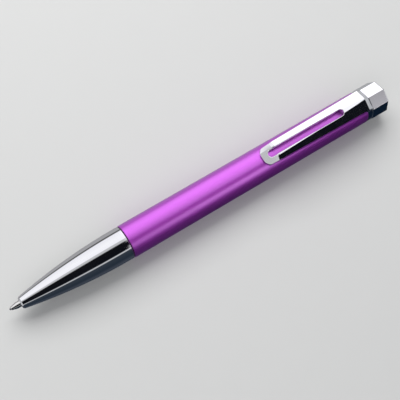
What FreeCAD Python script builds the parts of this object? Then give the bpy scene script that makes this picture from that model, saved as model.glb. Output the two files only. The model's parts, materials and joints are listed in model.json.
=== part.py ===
"""Retractable metal ballpoint pen with an eight-sided twist cap and a slotted pocket clip.

Pen coordinates: X runs along the pen from the writing ball (0) to the cap's end face, the
pen's axis is y = z = 0 and the clip lies on the +Z side.  Every sub-part is then placed so
that the origin is under the pen's middle, on the surface that the cap's lowest corner touches.
"""
import FreeCAD, Part
import Sketcher
import os
import re

DIMENSIONS = [
    ("pen_length", 137.1, "ball to cap end face"),
    ("cap_corner", 5.62, "centre to corner of the eight-sided cap"),
    # barrel
    ("barrel_radius", 5.4, "outer radius"),
    ("barrel_bore", 4.3, "inner radius"),
    ("barrel_start", 39.05, "front end face"),
    ("barrel_end", 128.3, "rear end face"),
    ("barrel_edge", 0.15, "chamfer of both ends"),
    # nose cone
    ("nose_mouth", 3.5, "front face"),
    ("nose_lip", 1.55, "outer radius of the front face"),
    ("nose_lip_depth", 0.4, "length of the bevel behind the mouth"),
    ("nose_front", 1.92, "radius where the long curve begins"),
    ("nose_rear", 5.33, "radius at the joint"),
    ("nose_curve", 172.0, "radius of the long curve"),
    ("nose_end", 38.75, "rear shoulder"),
    ("tip_bore", 1.08, "guide bore for the refill tip"),
    ("tip_bore_end", 5.5, "end of the guide bore"),
    ("relief_bore", 1.65, "bore behind the guide"),
    ("spring_seat", 10.0, "step that the spring stands on"),
    ("spring_bore", 2.3, "bore around the spring"),
    ("spring_bore_end", 23.6, "end of the bore around the spring"),
    ("refill_bore", 3.3, "bore around the refill"),
    ("spigot_radius", 3.8, "outer radius of the threaded spigot"),
    ("spigot_end", 47.5, "rear end of the spigot"),
    # ring in the joint and threaded insert
    ("joint_ring_radius", 5.12, "outer radius, a little below the barrel"),
    ("insert_end", 49.0, "rear end of the threaded insert"),
    # refill
    ("ball_radius", 0.35, "writing ball"),
    ("seat_front", 0.5, "front rim of the ball seat"),
    ("seat_back", 0.72, "floor of the ball seat"),
    ("seat_rim", 0.5, "outer radius of the rim"),
    ("tip_cone_end", 2.3, "end of the tip's cone"),
    ("tip_radius", 1.0, "tip behind the cone"),
    ("tip_step", 8.0, "start of the holder's cone"),
    ("holder_step", 9.0, "end of the holder's cone"),
    ("holder_radius", 1.5, "tip holder inside the spring"),
    ("refill_shoulder", 24.0, "flange that the spring pushes on"),
    ("tube_start", 25.0, "front of the refill tube"),
    ("tube_radius", 2.95, "outer radius of the refill tube"),
    ("tube_bore", 2.3, "inner radius of the refill tube"),
    ("holder_end", 29.0, "rear end of the tip holder"),
    ("ink_end", 80.0, "rear end of the ink"),
    ("grease_end", 84.0, "rear end of the grease plug"),
    ("plug_start", 92.0, "front of the end plug"),
    ("tube_end", 97.0, "rear end of the refill tube"),
    ("refill_end", 98.4, "rear face of the refill"),
    # return spring
    ("wire_radius", 0.22, "spring wire"),
    ("coil_radius", 1.9, "mean radius of the coil"),
    ("coil_pitch", 1.2, "distance between turns"),
    ("coil_gap", 0.06, "space at each end of the coil"),
    # twist mechanism
    ("travel", 6.0, "how far the refill retracts"),
    ("flange_end", 99.4, "rear face of the follower's flange"),
    ("flange_radius", 2.9, "follower's flange"),
    ("follower_radius", 2.2, "follower's rod"),
    ("follower_end", 118.0, "rear end of the rod"),
    ("pin_station", 110.0, "position of the follower pin"),
    ("pin_radius", 0.7, "follower pin"),
    ("pin_reach", 4.05, "outer end of the pin"),
    ("pin_depth", 1.0, "how far the pin passes the axis"),
    ("rotor_start", 106.0, "front of the cam rotor"),
    ("rotor_bore", 2.28, "inner radius of the rotor"),
    ("rotor_radius", 3.22, "outer radius of the rotor"),
    ("rotor_floor", 124.6, "front of the rotor's closed end"),
    ("rotor_end", 125.2, "rear face of the rotor"),
    ("cam_width", 2.1, "width of the helical slot along the pen"),
    ("cam_overrun", 28.0, "extra turn at each end of the slot, degrees"),
    ("housing_start", 101.5, "front of the mechanism housing"),
    ("housing_end", 126.9, "rear of the mechanism housing"),
    ("housing_bore", 3.3, "inner radius of the housing"),
    ("keyway_half", 0.8, "half width of the keyway"),
    ("keyway_front", 108.9, "front end of the keyway"),
    ("keyway_rear", 117.1, "rear end of the keyway"),
    # collar, bushing and stem
    ("collar_end", 130.15, "rear face of the collar"),
    ("collar_radius", 5.35, "outer radius of the collar"),
    ("collar_bevel", 0.15, "bevel of the collar's rear edge"),
    ("collar_bore", 3.6, "inner radius of the collar"),
    ("notch_half", 1.65, "half width of the clip notch"),
    ("notch_floor", 3.75, "height of the notch floor above the axis"),
    ("notch_rear", 129.85, "rear wall of the notch"),
    ("bushing_bore", 2.66, "inner radius of the stem bushing"),
    ("stem_radius", 2.6, "stem of the cap core"),
    ("groove_front", 128.6, "front of the groove for the friction ring"),
    ("groove_rear", 129.4, "rear of the groove"),
    ("groove_radius", 3.3, "bottom of the groove"),
    ("friction_wire", 0.32, "section radius of the friction ring"),
    ("retainer_front", 126.1, "front of the retaining ring"),
    ("retainer_rear", 126.7, "rear of the retaining ring"),
    ("retainer_radius", 3.15, "outer radius of the retaining ring"),
    # cap
    ("cap_front", 130.3, "front face of the cap"),
    ("cap_front_edge", 0.2, "chamfer of the front edges"),
    ("cap_rear_edge", 0.45, "chamfer of the rear edges"),
    ("cap_bore", 4.4, "bore that holds the cap core"),
    ("cap_bore_end", 136.0, "floor of that bore"),
    ("core_head_front", 130.9, "front of the core's head"),
    # clip
    ("clip_tip", 88.0, "free end"),
    ("clip_bend", 92.3, "foot of the step behind the free end"),
    ("clip_step", 93.1, "top of that step"),
    ("clip_shoulder", 127.9, "where the root's shoulder starts"),
    ("clip_end", 130.0, "root end"),
    ("clip_tip_half", 2.9, "half width at the free end"),
    ("clip_bend_half", 3.1, "half width at the foot of the step"),
    ("clip_step_half", 3.15, "half width at the top of the step"),
    ("clip_shoulder_half", 3.75, "half width at the shoulder"),
    ("clip_end_half", 3.5, "half width at the root"),
    ("clip_tip_top", 5.98, "height of the top at the free end"),
    ("clip_bend_top", 6.45, "height of the top at the foot of the step"),
    ("clip_step_top", 7.1, "height of the top at the top of the step"),
    ("clip_shoulder_top", 7.7, "height of the top at the shoulder"),
    ("clip_end_top", 6.0, "height of the top at the root"),
    ("front_flat", 1.75, "half width of the flat top from the free end to the step"),
    ("root_flat", 0.3, "half width of the flat top at the shoulder and the root"),
    ("tip_slope", 3.0, "slope of the two side faces ahead of the step, degrees"),
    ("front_slope", 18.0, "slope of the two side faces behind the step, degrees"),
    ("root_slope", 20.5, "slope of the two side faces at the root, degrees"),
    ("clip_base", 4.0, "bottom of the clip blank"),
    ("clip_hollow", 5.6, "radius of the hollow over the barrel"),
    ("slot_front", 90.2, "front end of the slot"),
    ("slot_rear", 119.3, "rear end of the slot"),
    ("slot_half", 1.12, "half width of the slot"),
    ("tip_corner_run", 1.5, "tip corner cut, along the pen"),
    ("tip_corner_half", 1.5, "half width left at the tip's end edge"),
    ("tang_front", 128.45, "front face of the tang"),
    ("tang_rear", 129.7, "rear face of the tang"),
    ("tang_half", 1.5, "half width of the tang"),
    ("tang_base", 3.9, "bottom of the tang"),
    ("tang_top", 5.9, "top of the tang inside the clip"),
]

DOC = FreeCAD.newDocument("ballpoint_pen")
DIMS = DOC.addObject("Spreadsheet::Sheet", "dims")
for row, (alias, value, note) in enumerate(DIMENSIONS, start=1):
    DIMS.set("A%d" % row, note)
    DIMS.set("B%d" % row, str(value))
    DIMS.setAlias("B%d" % row, alias)
DOC.recompute()
ALIASES = {alias for alias, value, note in DIMENSIONS}
NODES = []


def bound(text):
    """An expression with every dimension's name pointed at the sheet."""
    return re.sub(
        r"[a-z_]+", lambda m: "dims." + m.group(0) if m.group(0) in ALIASES else m.group(0), text
    )


def number(text):
    """The present value of an expression."""
    value = DIMS.evalExpression(bound(text))
    return float(getattr(value, "Value", value))


def place(node):
    """Move a finished sub-part from pen coordinates to the part's own frame."""
    node.setExpression(".Placement.Base.x", bound("-pen_length / 2"))
    node.setExpression(".Placement.Base.z", bound("cap_corner"))
    NODES.append(node)


def new_body(name):
    body = DOC.addObject("PartDesign::Body", name)
    body.Label = name
    place(body)
    return body


def new_sketch(body, role, offset="0", turn="0"):
    """A sketch on one of the body's origin planes, moved along its normal and turned about its x."""
    plane = next(f for f in body.Origin.OriginFeatures if f.Role == role)
    sketch = body.newObject("Sketcher::SketchObject", body.Name + "_sketch")
    sketch.AttachmentSupport = [(plane, "")]
    sketch.MapMode = "FlatFace"
    sketch.AttachmentOffset = FreeCAD.Placement(
        FreeCAD.Vector(0, 0, number(offset)), FreeCAD.Rotation(FreeCAD.Vector(1, 0, 0), number(turn))
    )
    if offset != "0":
        sketch.setExpression(".AttachmentOffset.Base.z", bound(offset))
    return sketch


def pin_coordinate(sketch, kind, element, end, text):
    """Tie one coordinate of a sketch point to an expression."""
    value = number(text)
    axis = -2 if kind == "DistanceX" else -1
    if abs(value) < 1e-9:
        sketch.addConstraint(Sketcher.Constraint("PointOnObject", element, end, axis))
        return
    if value > 0:
        made = sketch.addConstraint(Sketcher.Constraint(kind, -1, 1, element, end, value))
        sketch.setExpression("Constraints[%d]" % made, bound(text))
        return
    made = sketch.addConstraint(Sketcher.Constraint(kind, element, end, -1, 1, -value))
    sketch.setExpression("Constraints[%d]" % made, bound("-(" + text + ")"))


def arc_between(start, finish, radius):
    """An arc that bulges to the left of the way from start to finish."""
    middle = (start + finish) * 0.5
    half = (finish - start) * 0.5
    side = FreeCAD.Vector(-half.y, half.x, 0).normalize()
    rise = radius - (radius ** 2 - half.Length ** 2) ** 0.5
    return Part.Arc(start, middle + side * rise, finish).toShape().Curve, middle + side * (rise - radius)


def outline(sketch, points, arcs=None):
    """A closed outline through points given as pairs of expressions; arcs maps a side to its radius."""
    arcs = arcs or {}
    corners = [FreeCAD.Vector(number(a), number(b), 0) for a, b in points]
    count = len(corners)
    for i in range(count):
        start, finish = corners[i], corners[(i + 1) % count]
        if i in arcs:
            radius = number(arcs[i])
            centre = arc_between(start, finish, radius)[1]
            circle = Part.Circle(centre, FreeCAD.Vector(0, 0, 1), radius)
            first, last = circle.parameter(finish), circle.parameter(start)
            sketch.addGeometry(Part.ArcOfCircle(circle, first, last), False)
        else:
            sketch.addGeometry(Part.LineSegment(start, finish), False)
    begin = {i: 2 if i in arcs else 1 for i in range(count)}
    for i in range(count):
        after = (i + 1) % count
        sketch.addConstraint(Sketcher.Constraint("Coincident", i, 3 - begin[i], after, begin[after]))
    for i, (a, b) in enumerate(points):
        pin_coordinate(sketch, "DistanceX", i, begin[i], a)
        pin_coordinate(sketch, "DistanceY", i, begin[i], b)
    for i, radius in arcs.items():
        made = sketch.addConstraint(Sketcher.Constraint("Radius", i, number(radius)))
        sketch.setExpression("Constraints[%d]" % made, bound(radius))


def ring_outline(sketch, radius):
    """A circle centred on the sketch's origin."""
    sketch.addGeometry(Part.Circle(FreeCAD.Vector(), FreeCAD.Vector(0, 0, 1), number(radius)), False)
    sketch.addConstraint(Sketcher.Constraint("Coincident", 0, 3, -1, 1))
    made = sketch.addConstraint(Sketcher.Constraint("Radius", 0, number(radius)))
    sketch.setExpression("Constraints[%d]" % made, bound(radius))


def turned(name, points, arcs=None):
    """A turned piece: its outline (x, radius) spun about the pen's axis."""
    body = new_body(name)
    sketch = new_sketch(body, "XZ_Plane")
    outline(sketch, points, arcs)
    spin = body.newObject("PartDesign::Revolution", name + "_turned")
    spin.Profile = sketch
    spin.ReferenceAxis = (sketch, ["H_Axis"])
    spin.Angle = 360
    sketch.Visibility = False
    DOC.recompute()
    return body


def tube(name, start, finish, inner, outer):
    return turned(name, [(start, inner), (finish, inner), (finish, outer), (start, outer)])


def cut(body, sketch, length, towards_normal):
    """Pocket a sketch a stated length to one side, and make sure that it removed material."""
    before = body.Shape.Volume
    pocket = body.newObject("PartDesign::Pocket", body.Name + "_cut")
    pocket.Profile = sketch
    pocket.Type = 0
    pocket.Reversed = towards_normal
    pocket.Length = number(length)
    pocket.setExpression("Length", bound(length))
    DOC.recompute()
    if body.Shape.Volume > before - 1e-4:
        raise RuntimeError("a cut in %s removed nothing" % body.Label)
    return pocket


def pad(body, sketch, length, towards_normal=True):
    raised = body.newObject("PartDesign::Pad", body.Name + "_pad")
    raised.Profile = sketch
    raised.Type = 0
    raised.Reversed = not towards_normal
    raised.Length = number(length)
    raised.setExpression("Length", bound(length))
    DOC.recompute()
    return raised


def edge_names(shape, test):
    return ["Edge%d" % (i + 1) for i, edge in enumerate(shape.Edges) if test(edge)]


def bevel(body, names, size):
    base = body.Tip
    feature = body.newObject("PartDesign::Chamfer", body.Name + "_bevel")
    feature.Base = (base, names)
    feature.Size = number(size)
    feature.setExpression("Size", bound(size))
    DOC.recompute()
    return feature


# Barrel, nose cone and what joins them.
turned("barrel", [
    ("barrel_start", "barrel_bore"),
    ("barrel_end", "barrel_bore"),
    ("barrel_end", "barrel_radius - barrel_edge"),
    ("barrel_end - barrel_edge", "barrel_radius"),
    ("barrel_start + barrel_edge", "barrel_radius"),
    ("barrel_start", "barrel_radius - barrel_edge"),
])
turned("nose_cone", [
    ("nose_mouth", "tip_bore"),
    ("nose_mouth", "nose_lip"),
    ("nose_mouth + nose_lip_depth", "nose_front"),
    ("nose_end", "nose_rear"),
    ("nose_end", "spigot_radius"),
    ("spigot_end", "spigot_radius"),
    ("spigot_end", "refill_bore"),
    ("spring_bore_end", "refill_bore"),
    ("spring_bore_end", "spring_bore"),
    ("spring_seat", "spring_bore"),
    ("spring_seat", "relief_bore"),
    ("tip_bore_end", "relief_bore"),
    ("tip_bore_end", "tip_bore"),
], arcs={2: "nose_curve"})
tube("joint_ring", "nose_end", "barrel_start", "spigot_radius", "joint_ring_radius")
tube("threaded_insert", "barrel_start", "insert_end", "spigot_radius", "barrel_bore")

# Refill: writing ball, tip, tube, ink, grease and end plug.
ball = DOC.addObject("Part::Sphere", "writing_ball")
ball.Label = "writing_ball"
ball.setExpression("Radius", bound("ball_radius"))
ball.setExpression(".Placement.Base.x", bound("ball_radius - pen_length / 2"))
ball.setExpression(".Placement.Base.z", bound("cap_corner"))
NODES.append(ball)
turned("refill_tip", [
    ("seat_back", "0"),
    ("seat_back", "ball_radius * 0.7"),
    ("seat_front", "seat_rim - 0.08"),
    ("seat_front", "seat_rim"),
    ("tip_cone_end", "tip_radius"),
    ("tip_step", "tip_radius"),
    ("holder_step", "holder_radius"),
    ("refill_shoulder", "holder_radius"),
    ("refill_shoulder", "tube_radius"),
    ("tube_start", "tube_radius"),
    ("tube_start", "tube_bore"),
    ("holder_end", "tube_bore"),
    ("holder_end", "0"),
])
tube("refill_tube", "tube_start", "tube_end", "tube_bore", "tube_radius")
tube("ink_column", "holder_end", "ink_end", "0", "tube_bore")
tube("grease_plug", "ink_end", "grease_end", "0", "tube_bore")
turned("refill_end_plug", [
    ("plug_start", "0"),
    ("plug_start", "tube_bore"),
    ("tube_end", "tube_bore"),
    ("tube_end", "tube_radius"),
    ("refill_end", "tube_radius"),
    ("refill_end", "0"),
])

# Return spring: one coil between the nose's seat and the refill's shoulder.
spring = new_body("return_spring")
wire = new_sketch(spring, "XZ_Plane")
wire_start = "spring_seat + coil_gap + wire_radius"
wire.addGeometry(
    Part.Circle(
        FreeCAD.Vector(number(wire_start), number("coil_radius"), 0),
        FreeCAD.Vector(0, 0, 1),
        number("wire_radius"),
    ),
    False,
)
made = wire.addConstraint(Sketcher.Constraint("Radius", 0, number("wire_radius")))
wire.setExpression("Constraints[%d]" % made, bound("wire_radius"))
pin_coordinate(wire, "DistanceX", 0, 3, wire_start)
pin_coordinate(wire, "DistanceY", 0, 3, "coil_radius")
coil = spring.newObject("PartDesign::AdditiveHelix", "return_spring_coil")
coil.Profile = wire
coil.ReferenceAxis = (wire, ["H_Axis"])
coil.Mode = 0
coil.Pitch = number("coil_pitch")
coil.Height = number("refill_shoulder - spring_seat - 2 * coil_gap - 2 * wire_radius")
coil.setExpression("Pitch", bound("coil_pitch"))
coil.setExpression("Height", bound("refill_shoulder - spring_seat - 2 * coil_gap - 2 * wire_radius"))
DOC.recompute()

# Twist mechanism: follower with its pin, rotor with the helical slot, housing with the keyway.
follower = turned("cam_follower", [
    ("refill_end", "0"),
    ("refill_end", "flange_radius"),
    ("flange_end", "flange_radius"),
    ("flange_end", "follower_radius"),
    ("follower_end", "follower_radius"),
    ("follower_end", "0"),
])


def round_at_pin(sketch):
    """A circle of the pin's radius at the pin's station on a plan sketch."""
    centre = FreeCAD.Vector(number("pin_station"), 0, 0)
    sketch.addGeometry(Part.Circle(centre, FreeCAD.Vector(0, 0, 1), number("pin_radius")), False)
    size = sketch.addConstraint(Sketcher.Constraint("Radius", 0, number("pin_radius")))
    sketch.setExpression("Constraints[%d]" % size, bound("pin_radius"))
    pin_coordinate(sketch, "DistanceX", 0, 3, "pin_station")
    pin_coordinate(sketch, "DistanceY", 0, 3, "0")


pin_hole = new_sketch(follower, "XY_Plane", "-pin_depth")
round_at_pin(pin_hole)
cut(follower, pin_hole, "pin_depth + follower_radius + 1", True)

pin = new_body("follower_pin")
pin_round = new_sketch(pin, "XY_Plane", "-pin_depth")
round_at_pin(pin_round)
pad(pin, pin_round, "pin_depth + pin_reach")

rotor = turned("cam_rotor", [
    ("rotor_start", "rotor_bore"),
    ("rotor_floor", "rotor_bore"),
    ("rotor_floor", "0"),
    ("rotor_end", "0"),
    ("rotor_end", "rotor_radius"),
    ("rotor_start", "rotor_radius"),
])
cam_start = "pin_station - travel * cam_overrun / 180"
cam_section = new_sketch(rotor, "XZ_Plane", turn="cam_overrun")
outline(cam_section, [
    (cam_start + " - cam_width / 2", "rotor_bore - 0.4"),
    (cam_start + " + cam_width / 2", "rotor_bore - 0.4"),
    (cam_start + " + cam_width / 2", "rotor_radius + 0.4"),
    (cam_start + " - cam_width / 2", "rotor_radius + 0.4"),
])
rotor_before = rotor.Shape.Volume
cam = rotor.newObject("PartDesign::SubtractiveHelix", "cam_rotor_slot")
cam.Profile = cam_section
cam.ReferenceAxis = (cam_section, ["H_Axis"])
cam.Mode = 0
cam.LeftHanded = True
cam.Pitch = number("travel * 2")
cam.Height = number("travel * (1 + cam_overrun / 90)")
cam.setExpression("Pitch", bound("travel * 2"))
cam.setExpression("Height", bound("travel * (1 + cam_overrun / 90)"))
DOC.recompute()
if rotor.Shape.Volume > rotor_before - 1:
    raise RuntimeError("the helical slot removed nothing")

housing = tube("mechanism_housing", "housing_start", "housing_end", "housing_bore", "barrel_bore")
keyway = new_sketch(housing, "XY_Plane")
outline(keyway, [
    ("keyway_front", "-keyway_half"),
    ("keyway_rear", "-keyway_half"),
    ("keyway_rear", "keyway_half"),
    ("keyway_front", "keyway_half"),
])
cut(housing, keyway, "barrel_radius", True)

# Collar with the notch for the clip, and the bushing that the stem turns in.
collar = turned("clip_collar", [
    ("housing_end", "collar_bore"),
    ("collar_end", "collar_bore"),
    ("collar_end", "collar_radius - collar_bevel"),
    ("collar_end - collar_bevel", "collar_radius"),
    ("barrel_end", "collar_radius"),
    ("barrel_end", "barrel_bore"),
    ("housing_end", "barrel_bore"),
])
notch = new_sketch(collar, "XY_Plane", "notch_floor")
outline(notch, [
    ("barrel_end", "-notch_half"),
    ("notch_rear", "-notch_half"),
    ("notch_rear", "notch_half"),
    ("barrel_end", "notch_half"),
])
cut(collar, notch, "barrel_radius", True)
turned("stem_bushing", [
    ("housing_end", "bushing_bore"),
    ("groove_front", "bushing_bore"),
    ("groove_front", "groove_radius"),
    ("groove_rear", "groove_radius"),
    ("groove_rear", "bushing_bore"),
    ("collar_end", "bushing_bore"),
    ("collar_end", "collar_bore"),
    ("housing_end", "collar_bore"),
])

# Twist cap: eight-sided shell, core with its stem, retaining ring and friction ring.
cap = new_body("cap")
octagon = new_sketch(cap, "YZ_Plane", "cap_front")
outline(octagon, [
    ("cap_corner * sin(%d deg)" % turn, "cap_corner * cos(%d deg)" % turn)
    for turn in (0, 45, 90, 135, 180, 225, 270, 315)
])
pad(cap, octagon, "pen_length - cap_front")
for station, size in (("cap_front", "cap_front_edge"), ("pen_length", "cap_rear_edge")):
    plane_x = number(station)
    bevel(cap, edge_names(
        cap.Tip.Shape, lambda e: all(abs(v.X - plane_x) < 1e-6 for v in e.Vertexes)
    ), size)
cap_hole = new_sketch(cap, "YZ_Plane", "cap_front")
ring_outline(cap_hole, "cap_bore")
cut(cap, cap_hole, "cap_bore_end - cap_front", True)
turned("cap_core", [
    ("rotor_end", "0"),
    ("rotor_end", "stem_radius"),
    ("core_head_front", "stem_radius"),
    ("core_head_front", "cap_bore"),
    ("cap_bore_end", "cap_bore"),
    ("cap_bore_end", "0"),
])
tube("retaining_ring", "retainer_front", "retainer_rear", "stem_radius", "retainer_radius")
friction = DOC.addObject("Part::Torus", "friction_ring")
friction.Label = "friction_ring"
friction.setExpression("Radius1", bound("stem_radius + friction_wire"))
friction.setExpression("Radius2", bound("friction_wire"))
friction.Placement = FreeCAD.Placement(
    FreeCAD.Vector(), FreeCAD.Rotation(FreeCAD.Vector(0, 1, 0), 90)
)
friction.setExpression(
    ".Placement.Base.x", bound("(groove_front + groove_rear) / 2 - pen_length / 2")
)
friction.setExpression(".Placement.Base.z", bound("cap_corner"))
NODES.append(friction)

# Pocket clip: slotted spring arm with a flat top that narrows to a ridge at the root, a step down to
# its free end, a shoulder at its root and a tang that sits in the collar's notch.
clip = new_body("clip")
sections = []
for place_name, flat, slope in (
    ("tip", "front_flat", "tip_slope"),
    ("bend", "front_flat", "tip_slope"),
    ("step", "front_flat", "front_slope"),
    ("shoulder", "root_flat", "root_slope"),
    ("end", "root_flat", "root_slope"),
):
    half, top = "clip_%s_half" % place_name, "clip_%s_top" % place_name
    eave = "%s - (%s - %s) * tan(%s * 1 deg)" % (top, half, flat, slope)
    section = new_sketch(clip, "YZ_Plane", "clip_" + place_name)
    outline(section, [
        ("-" + half, "clip_base"),
        (half, "clip_base"),
        (half, eave),
        (flat, top),
        ("-" + flat, top),
        ("-" + half, eave),
    ])
    sections.append(section)
arm = clip.newObject("PartDesign::AdditiveLoft", "clip_arm")
arm.Profile = sections[0]
arm.Sections = sections[1:]
arm.Ruled = True
DOC.recompute()

slot = new_sketch(clip, "XY_Plane", "clip_base")
front_centre = FreeCAD.Vector(number("slot_front + slot_half"), 0, 0)
rear_centre = FreeCAD.Vector(number("slot_rear - slot_half"), 0, 0)
reach = FreeCAD.Vector(0, number("slot_half"), 0)
quarter = 1.5707963267948966
up = FreeCAD.Vector(0, 0, 1)
slot.addGeometry(Part.LineSegment(front_centre - reach, rear_centre - reach), False)
slot.addGeometry(
    Part.ArcOfCircle(Part.Circle(rear_centre, up, reach.Length), -quarter, quarter), False
)
slot.addGeometry(Part.LineSegment(rear_centre + reach, front_centre + reach), False)
slot.addGeometry(
    Part.ArcOfCircle(Part.Circle(front_centre, up, reach.Length), quarter, 3 * quarter), False
)
for first, first_end, second, second_end in ((0, 2, 1, 1), (1, 2, 2, 1), (2, 2, 3, 1), (3, 2, 0, 1)):
    slot.addConstraint(Sketcher.Constraint("Tangent", first, first_end, second, second_end))
pin_coordinate(slot, "DistanceX", 1, 3, "slot_rear - slot_half")
pin_coordinate(slot, "DistanceY", 1, 3, "0")
pin_coordinate(slot, "DistanceX", 3, 3, "slot_front + slot_half")
made = slot.addConstraint(Sketcher.Constraint("Radius", 1, reach.Length))
slot.setExpression("Constraints[%d]" % made, bound("slot_half"))
cut(clip, slot, "clip_shoulder_top", True)

hollow = new_sketch(clip, "YZ_Plane", "clip_tip - 1")
ring_outline(hollow, "clip_hollow")
cut(clip, hollow, "clip_end - clip_tip + 2", True)

for side in ("", "-"):
    corner = new_sketch(clip, "XY_Plane", "clip_base")
    outline(corner, [
        ("clip_tip - 0.5", side + "tip_corner_half"),
        ("clip_tip", side + "tip_corner_half"),
        ("clip_tip + tip_corner_run", side + "(clip_tip_half + 0.6)"),
        ("clip_tip - 0.5", side + "(clip_tip_half + 0.6)"),
    ])
    cut(clip, corner, "clip_shoulder_top", True)

tang = new_sketch(clip, "XY_Plane", "tang_base")
outline(tang, [
    ("tang_front", "-tang_half"),
    ("tang_rear", "-tang_half"),
    ("tang_rear", "tang_half"),
    ("tang_front", "tang_half"),
])
pad(clip, tang, "tang_top - tang_base")

# Check everything, then write one file for each sub-part.
DOC.recompute()
for thing in DOC.Objects:
    if "Invalid" in thing.State or "Error" in thing.State:
        raise RuntimeError("%s failed: %s" % (thing.Name, thing.State))
for node in NODES:
    if node.Shape.isNull() or not node.Shape.isValid() or node.Shape.Volume <= 0:
        raise RuntimeError("%s has no valid shape" % node.Label)
os.makedirs("parts", exist_ok=True)
for node in NODES:
    node.Shape.exportStep("parts/%s.step" % node.Label)
    box = node.Shape.BoundBox
    print("%-18s %9.2f mm3  solids %d  x %.2f..%.2f z %.2f..%.2f" % (
        node.Label, node.Shape.Volume, len(node.Shape.Solids), box.XMin, box.XMax, box.ZMin, box.ZMax
    ))
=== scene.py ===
"""Looks of the retractable ballpoint pen: chrome, anodised barrel, studio light and camera."""

import json
import math

import bmesh
import bpy
from mathutils import Euler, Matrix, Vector


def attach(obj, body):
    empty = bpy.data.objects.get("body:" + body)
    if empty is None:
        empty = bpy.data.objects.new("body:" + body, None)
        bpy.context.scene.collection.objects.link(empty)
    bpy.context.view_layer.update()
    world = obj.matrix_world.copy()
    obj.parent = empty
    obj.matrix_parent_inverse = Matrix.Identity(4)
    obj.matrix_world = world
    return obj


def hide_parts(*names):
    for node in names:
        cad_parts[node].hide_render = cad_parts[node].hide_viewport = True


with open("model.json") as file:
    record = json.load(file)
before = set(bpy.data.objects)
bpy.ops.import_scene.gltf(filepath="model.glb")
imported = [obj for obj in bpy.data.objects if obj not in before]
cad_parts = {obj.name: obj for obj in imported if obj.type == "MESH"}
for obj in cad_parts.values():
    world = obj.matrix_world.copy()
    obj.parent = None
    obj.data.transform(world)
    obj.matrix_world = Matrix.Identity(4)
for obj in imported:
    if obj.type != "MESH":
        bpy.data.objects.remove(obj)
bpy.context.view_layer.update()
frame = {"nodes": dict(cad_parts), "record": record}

MM = 0.001
HALF = 68.55                   # half the pen's length, mm
AXIS = 5.62                    # height of the pen's axis over the surface, mm
WELD = 2e-6                    # CAD points closer than this are one point, m
DEGENERATE = 1e-6              # faces and edges smaller than this are removed, m
SAME_FACE = math.radians(1.2)  # facets that differ by less are one face
HARD_EDGE = math.radians(12)   # edges that turn by more are rounded
SMUDGES = 120.0                # scale of the soft smudges on every surface


# ---------------------------------------------------------------- materials

def adder(tree):
    """A function that adds a node to tree, linking the inputs that are sockets."""
    def add(kind, inputs=None, **settings):
        node = tree.nodes.new(kind)
        for key, value in settings.items():
            setattr(node, key, value)
        for key, value in (inputs or {}).items():
            if isinstance(value, bpy.types.NodeSocket):
                tree.links.new(value, node.inputs[key])
            else:
                node.inputs[key].default_value = value
        return node
    return add


def spread(add, source, start, end, low=0.0, high=1.0):
    """A node's output, its range start..end spread over low..high."""
    return add("ShaderNodeMapRange", {
        "Value": source, "From Min": start, "From Max": end, "To Min": low, "To Max": high,
    }).outputs["Result"]


def surface(name, colour, metallic, rough, grain, bump, dirt=0.0, stretch=(1, 1, 1), **extra):
    """A worn surface. rough is (least, most) and varies in soft smudges, grain is the scale of the
    fine bump and bump its height in metres, and dirt is how far the colour dips in the smudges."""
    material = bpy.data.materials.new(name)
    material.use_nodes = True
    tree = material.node_tree
    shader = tree.nodes["Principled BSDF"]
    add = adder(tree)
    place = add("ShaderNodeTexCoord").outputs["Object"]
    drawn = add("ShaderNodeMapping", {"Vector": place, "Scale": stretch}).outputs["Vector"]
    smudge = add("ShaderNodeTexNoise", {
        "Vector": place, "Scale": SMUDGES, "Detail": 5.0, "Roughness": 0.6,
    }).outputs["Fac"]
    fine = add("ShaderNodeTexNoise", {
        "Vector": drawn, "Scale": grain, "Detail": 3.0, "Roughness": 0.55,
    }).outputs["Fac"]
    tree.links.new(spread(add, smudge, 0.3, 0.7, *rough), shader.inputs["Roughness"])
    height = add("ShaderNodeBump", {"Height": fine, "Distance": bump, "Strength": 1.0})
    tree.links.new(height.outputs["Normal"], shader.inputs["Normal"])
    shader.inputs["Metallic"].default_value = metallic
    if dirt:
        darker = [c * (1 - dirt) for c in colour] + [1]
        mix = add("ShaderNodeMix", {"Factor": smudge}, data_type="RGBA")
        mix.inputs["A"].default_value = darker
        mix.inputs["B"].default_value = list(colour) + [1]
        tree.links.new(mix.outputs["Result"], shader.inputs["Base Color"])
    else:
        shader.inputs["Base Color"].default_value = list(colour) + [1]
    for key, value in extra.items():
        shader.inputs[key.replace("_", " ")].default_value = value
    return material


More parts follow.
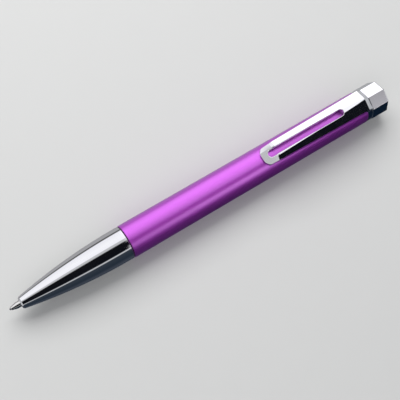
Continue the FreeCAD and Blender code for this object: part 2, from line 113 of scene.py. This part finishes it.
CHROME = surface("chrome", (0.88, 0.88, 0.90), 1.0, (0.03, 0.085), 900, 1.2e-7, 0.04)
SHELL = surface(
    "anodised_purple", (0.68, 0.066, 0.82), 0.86, (0.40, 0.46), 5200, 5e-7, 0.05,
    Coat_Weight=1.0, Coat_Roughness=0.30, Coat_IOR=1.95,
)
MATERIALS = {
    "anodised_purple": SHELL,
    "chrome": CHROME,
    "black_rubber": surface("black_rubber", (0.012, 0.012, 0.013), 0.0, (0.5, 0.7), 4000, 2e-6),
    "brass": surface("brass", (0.75, 0.55, 0.25), 1.0, (0.18, 0.34), 3000, 4e-7, 0.2),
    "white_plastic": surface(
        "white_plastic", (0.78, 0.78, 0.75), 0.0, (0.35, 0.5), 2500, 6e-7, 0.04,
    ),
    "black_plastic": surface("black_plastic", (0.02, 0.02, 0.022), 0.0, (0.35, 0.5), 2500, 6e-7),
    "spring_steel": surface("spring_steel", (0.55, 0.56, 0.58), 1.0, (0.2, 0.35), 4000, 4e-7, 0.15),
    "nickel_brass": surface("nickel_brass", (0.84, 0.83, 0.81), 1.0, (0.08, 0.16), 4000, 3e-7, 0.1),
    "clear_plastic": surface(
        "clear_plastic", (0.92, 0.94, 0.96), 0.0, (0.05, 0.12), 1500, 3e-7,
        Transmission_Weight=0.9, IOR=1.5,
    ),
    "blue_ink": surface("blue_ink", (0.01, 0.02, 0.25), 0.0, (0.08, 0.15), 1500, 3e-7),
    "grease": surface("grease", (0.75, 0.66, 0.38), 0.0, (0.15, 0.3), 1500, 8e-7, 0.1),
    "carbide": surface("carbide", (0.4, 0.4, 0.42), 1.0, (0.08, 0.15), 4000, 2e-7),
}
SLOTS = {part["node"]: part["material_slot"] for part in frame["record"]["subparts"]}
BODIES = {
    node: body
    for body, nodes in frame["record"]["behaviour"]["bodies"].items()
    for node in nodes
}


# ---------------------------------------------------------------- pieces

def dress(thing, node):
    """Finish, body and stand-in for one visible piece."""
    thing.data.materials.clear()
    thing.data.materials.append(MATERIALS[SLOTS[node]])
    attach(thing, BODIES[node])
    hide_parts(node)


def placed(name, made, crease):
    """A new object from the bmesh made, smooth up to crease degrees."""
    bmesh.ops.recalc_face_normals(made, faces=made.faces)
    mesh = bpy.data.meshes.new(name)
    made.to_mesh(mesh)
    made.free()
    mesh.polygons.foreach_set("use_smooth", [True] * len(mesh.polygons))
    mesh.set_sharp_from_angle(angle=math.radians(crease))
    thing = bpy.data.objects.new(name, mesh)
    bpy.context.scene.collection.objects.link(thing)
    return thing


def lathe(name, node, outline, around=160, crease=28):
    """A closed turned piece from its outline of (x, radius) in pen millimetres."""
    made = bmesh.new()
    rings = []
    for x, radius in outline:
        centre = Vector(((x - HALF) * MM, 0, AXIS * MM))
        if radius < 1e-6:
            rings.append([made.verts.new(centre)])
            continue
        rings.append([
            made.verts.new(centre + Vector((
                0,
                math.sin(2 * math.pi * k / around) * radius * MM,
                math.cos(2 * math.pi * k / around) * radius * MM,
            )))
            for k in range(around)
        ])
    for i, ring in enumerate(rings):
        after = rings[(i + 1) % len(rings)]
        if len(ring) == 1 and len(after) == 1:
            continue
        for k in range(around):
            j = (k + 1) % around
            corners = []
            for points, at in ((ring, k), (ring, j), (after, j), (after, k)):
                vertex = points[at % len(points)]
                if vertex not in corners:
                    corners.append(vertex)
            made.faces.new(corners)
    dress(placed(name, made, crease), node)


def eased(name, node, main, groups=()):
    """A CAD piece with its facets joined and its edges rounded: main is the usual width in
    millimetres, and groups lists (test, width) for the edges that get another one."""
    made = bmesh.new()
    made.from_mesh(frame["nodes"][node].data)
    bmesh.ops.remove_doubles(made, verts=made.verts, dist=WELD)
    bmesh.ops.dissolve_limit(
        made, angle_limit=SAME_FACE, verts=made.verts, edges=made.edges,
        use_dissolve_boundaries=False,
    )
    for test, width in groups:
        bmesh.ops.bevel(
            made, geom=[e for e in made.edges if len(e.link_faces) == 2 and test(e)],
            offset=width * MM, segments=5, profile=0.5, affect="EDGES", clamp_overlap=False,
        )
    sharp = [
        e for e in made.edges
        if len(e.link_faces) == 2 and e.calc_face_angle(0) > HARD_EDGE
        and not any(test(e) for test, width in groups)
    ]
    bmesh.ops.bevel(
        made, geom=sharp, offset=main * MM, segments=3, profile=0.5, affect="EDGES",
        clamp_overlap=True,
    )
    bmesh.ops.remove_doubles(made, verts=made.verts, dist=DEGENERATE)
    bmesh.ops.dissolve_degenerate(made, dist=DEGENERATE, edges=made.edges)
    thing = placed(name, made, 50)
    weighted = thing.modifiers.new("normals", "WEIGHTED_NORMAL")
    weighted.keep_sharp = True
    weighted.weight = 80
    dress(thing, node)


def long_curve(start, finish, radius, steps):
    """Points of the nose's long arc, from its front to its rear, bulging outward."""
    a, b = Vector(start), Vector(finish)
    middle, half = (a + b) / 2, (b - a) / 2
    side = Vector((-half.y, half.x)).normalized()
    centre = middle - side * math.sqrt(radius ** 2 - half.length_squared)
    first = math.atan2(a.y - centre.y, a.x - centre.x)
    last = math.atan2(b.y - centre.y, b.x - centre.x)
    return [
        (centre.x + radius * math.cos(t), centre.y + radius * math.sin(t))
        for t in (first + (last - first) * k / steps for k in range(steps + 1))
    ]


lathe("barrel_shell", "barrel", [
    (39.05, 4.3), (128.3, 4.3), (128.3, 5.25), (128.26, 5.34), (128.15, 5.4),
    (106, 5.4), (84, 5.4), (62, 5.4), (39.2, 5.4), (39.09, 5.34), (39.05, 5.25),
], around=192)
lathe("nose_shell", "nose_cone", [
    (3.5, 1.08), (3.5, 1.48), (3.53, 1.56), (3.62, 1.64), (3.82, 1.83),
] + long_curve((3.95, 1.94), (38.68, 5.32), 172.0, 56) + [
    (38.75, 5.26), (38.75, 3.8), (47.5, 3.8), (47.5, 3.3), (23.6, 3.3), (23.6, 2.3),
    (10.0, 2.3), (10.0, 1.65), (5.5, 1.65), (5.5, 1.08),
], around=192)
lathe("tip_metal", "refill_tip", [
    (0.72, 0), (0.72, 0.245), (0.5, 0.42), (0.5, 0.46), (0.54, 0.505), (1.4, 0.745), (2.2, 0.965),
    (2.36, 1.0), (8.0, 1.0), (9.0, 1.5), (24.0, 1.5), (24.0, 2.95), (25.0, 2.95), (25.0, 2.3),
    (29.0, 2.3), (29.0, 0),
], around=72)
lathe("ball_metal", "writing_ball", [
    (0.35 - 0.35 * math.cos(math.pi * k / 16), max(0.0, 0.35 * math.sin(math.pi * k / 16)))
    for k in range(17)
], around=32, crease=60)


# Where the clip's edges are looked for, in pen millimetres.
END_X = 90.0                  # the free end lies in front of this
END_HALF = 1.3                # its corners lie further out than this
SLOT_X = (90.15, 119.35)      # the slot's length
SLOT_HALF = 1.125             # half the slot's width, with a little room
SLOT_FLOOR = 5.9              # the slot's edges lie above this


def pen_points(edge):
    """An edge's two ends in pen millimetres."""
    return [v.co / MM - Vector((-HALF, 0, AXIS)) for v in edge.verts]


def tip_corner(edge):
    """True for the upright edges at the corners of the clip's free end."""
    a, b = pen_points(edge)
    upright = abs((a - b).normalized().z) > 0.95
    return max(a.x, b.x) < END_X and min(abs(a.y), abs(b.y)) > END_HALF and upright


def slot_rim(edge):
    """True for the edges where the clip's slot meets its outer faces."""
    front, rear = SLOT_X
    for p in pen_points(edge):
        if not (front < p.x < rear and abs(p.y) < SLOT_HALF and p.z > SLOT_FLOOR):
            return False
    wall = [f for f in edge.link_faces if abs(f.normal.z) < 0.25]
    roof = [f for f in edge.link_faces if f.normal.z > 0.6]
    return len(wall) == 1 and len(roof) == 1


eased("clip_metal", "clip", 0.1, [(tip_corner, 0.55), (slot_rim, 0.22)])
eased("cap_metal", "cap", 0.1)
eased("collar_metal", "clip_collar", 0.05)

replaced = {"barrel", "nose_cone", "refill_tip", "writing_ball", "clip", "cap", "clip_collar"}
for node, thing in frame["nodes"].items():
    if node not in replaced:
        thing.data.materials.clear()
        thing.data.materials.append(MATERIALS[SLOTS[node]])


# ---------------------------------------------------------------- stage, light and camera

bpy.ops.mesh.primitive_plane_add(size=3.0, location=(0, 0, 0))
floor = bpy.context.object
floor.name = "floor"
paper = surface("pale_floor", (0.56, 0.56, 0.55), 0.0, (0.75, 0.9), 900, 6e-6, 0.03)
floor.data.materials.append(paper)
floor.visible_glossy = False

world = bpy.data.worlds.new("studio")
bpy.context.scene.world = world
world.use_nodes = True
sky = world.node_tree
sky.nodes.clear()
add = adder(sky)

# What the metal reflects: bands round the pen's length, by angle from straight up (0), positive
# towards the front (-Y).  A white card reaches from behind to overhead, then come a dark gap, a
# narrow strip and darkness down to the surface.  Rays that leave towards the nose see a wider gap
# and a dimmer strip.
REAR_BANDS = [
    (-180, (0.05, 0.06, 0.08)),
    (-165, (0.08, 0.09, 0.11)),
    (-152, (0.40, 0.41, 0.42)),
    (-100, (0.40, 0.41, 0.43)),
    (-88, (0.30, 0.31, 0.33)),
    (-82, (1.10, 1.08, 1.12)),
    (-60, (1.55, 1.52, 1.58)),
    (-40, (1.25, 1.24, 1.28)),
    (10, (1.00, 1.00, 1.05)),
    (15, (0.006, 0.006, 0.008)),
    (32.4, (0.004, 0.005, 0.008)),
    (33.8, (0.44, 0.43, 0.45)),
    (35, (0.46, 0.45, 0.48)),
    (38.5, (0.48, 0.47, 0.50)),
    (41, (1.60, 1.56, 1.65)),
    (54, (1.60, 1.56, 1.65)),
    (68, (0.16, 0.16, 0.19)),
    (80, (0.004, 0.010, 0.022)),
    (135, (0.004, 0.010, 0.022)),
    (180, (0.03, 0.04, 0.05)),
]
NOSE_BANDS = [
    (-180, (0.05, 0.06, 0.08)),
    (-160, (0.35, 0.35, 0.36)),
    (-100, (0.40, 0.40, 0.41)),
    (-92, (0.06, 0.06, 0.06)),
    (-86, (0.06, 0.06, 0.06)),
    (-80, (0.95, 0.95, 1.00)),
    (-40, (1.05, 1.05, 1.08)),
    (-17, (1.00, 1.00, 1.05)),
    (-12, (0.56, 0.57, 0.58)),
    (-1, (0.56, 0.57, 0.58)),
    (3, (0.006, 0.006, 0.008)),
    (54, (0.004, 0.005, 0.008)),
    (58, (0.55, 0.56, 0.58)),
    (62, (0.60, 0.61, 0.63)),
    (67, (0.035, 0.045, 0.060)),
    (110, (0.020, 0.030, 0.045)),
    (140, (0.05, 0.06, 0.08)),
    (180, (0.05, 0.06, 0.08)),
]
NOSE_TO_REAR = (0.17, 0.20)     # where one set of bands gives way to the other, by the ray's X
END_WALL = (0.78, 0.86)         # a plain wall closes both ends of the room, by the ray's X

heading = add("ShaderNodeTexCoord").outputs["Generated"]
split = add("ShaderNodeSeparateXYZ", {"Vector": heading})
front = add("ShaderNodeMath", {0: split.outputs["Y"], 1: -1.0}, operation="MULTIPLY")
turn = add("ShaderNodeMath", {0: front.outputs[0], 1: split.outputs["Z"]}, operation="ARCTAN2")


def banded(bands):
    """The colour for the turn angle, from a list of (degrees, colour)."""
    ramp = add("ShaderNodeValToRGB", {"Fac": spread(add, turn.outputs[0], -math.pi, math.pi)})
    stops = ramp.color_ramp.elements
    stops.remove(stops[1])
    for i, (angle, colour) in enumerate(bands):
        spot = (angle + 180) / 360
        stop = stops[0] if i == 0 else stops.new(spot)
        stop.position = spot
        stop.color = list(colour) + [1]
    return ramp.outputs["Color"]


along = split.outputs["X"]
seen = add(
    "ShaderNodeMix", {"Factor": spread(add, along, *NOSE_TO_REAR)},
    data_type="RGBA", clamp_result=False,
)
sky.links.new(banded(NOSE_BANDS), seen.inputs["A"])
sky.links.new(banded(REAR_BANDS), seen.inputs["B"])
cards = add("ShaderNodeBackground", {"Color": seen.outputs["Result"], "Strength": 1.0})
wall = add("ShaderNodeBackground", {"Color": (0.52, 0.53, 0.55, 1), "Strength": 1.0})
reach = add("ShaderNodeMath", {0: along}, operation="ABSOLUTE")
studio = add("ShaderNodeMixShader", {
    0: spread(add, reach.outputs[0], *END_WALL), 1: cards.outputs[0], 2: wall.outputs[0],
})
room = add("ShaderNodeBackground", {"Color": (0.93, 0.95, 1.0, 1), "Strength": 0.4})
ray = add("ShaderNodeLightPath")
mixed = add("ShaderNodeMixShader", {
    0: ray.outputs["Is Glossy Ray"], 1: room.outputs[0], 2: studio.outputs[0],
})
add("ShaderNodeOutputWorld", {"Surface": mixed.outputs[0]})


def softbox(name, place, aim, size, watts):
    """A rectangular light at place, pointed at aim, that the metal doesn't mirror."""
    lamp = bpy.data.lights.new(name, "AREA")
    lamp.shape = "RECTANGLE"
    lamp.size, lamp.size_y = size
    lamp.energy = watts
    holder = bpy.data.objects.new(name, lamp)
    bpy.context.scene.collection.objects.link(holder)
    holder.location = place
    holder.rotation_euler = (Vector(aim) - Vector(place)).to_track_quat("-Z", "Y").to_euler()
    holder.visible_glossy = False


softbox("key", (0.05, 0.38, 0.48), (0, 0, 0), (0.7, 0.45), 4.6)
softbox("fill", (-0.35, -0.3, 0.5), (0, 0, 0), (0.5, 0.5), 1.0)

lens = bpy.data.cameras.new("camera")
lens.lens = 71.86
lens.sensor_width = 36
lens.clip_start = 0.01
camera = bpy.data.objects.new("camera", lens)
bpy.context.scene.collection.objects.link(camera)
camera.location = (-0.07063, -0.0437, 0.23894)
camera.rotation_euler = Euler([math.radians(a) for a in (17.249, -8.103, -32.835)], "XYZ")
bpy.context.scene.camera = camera

bpy.context.scene.view_settings.view_transform = "Standard"
bpy.context.scene.view_settings.look = "None"

bpy.context.view_layer.update()
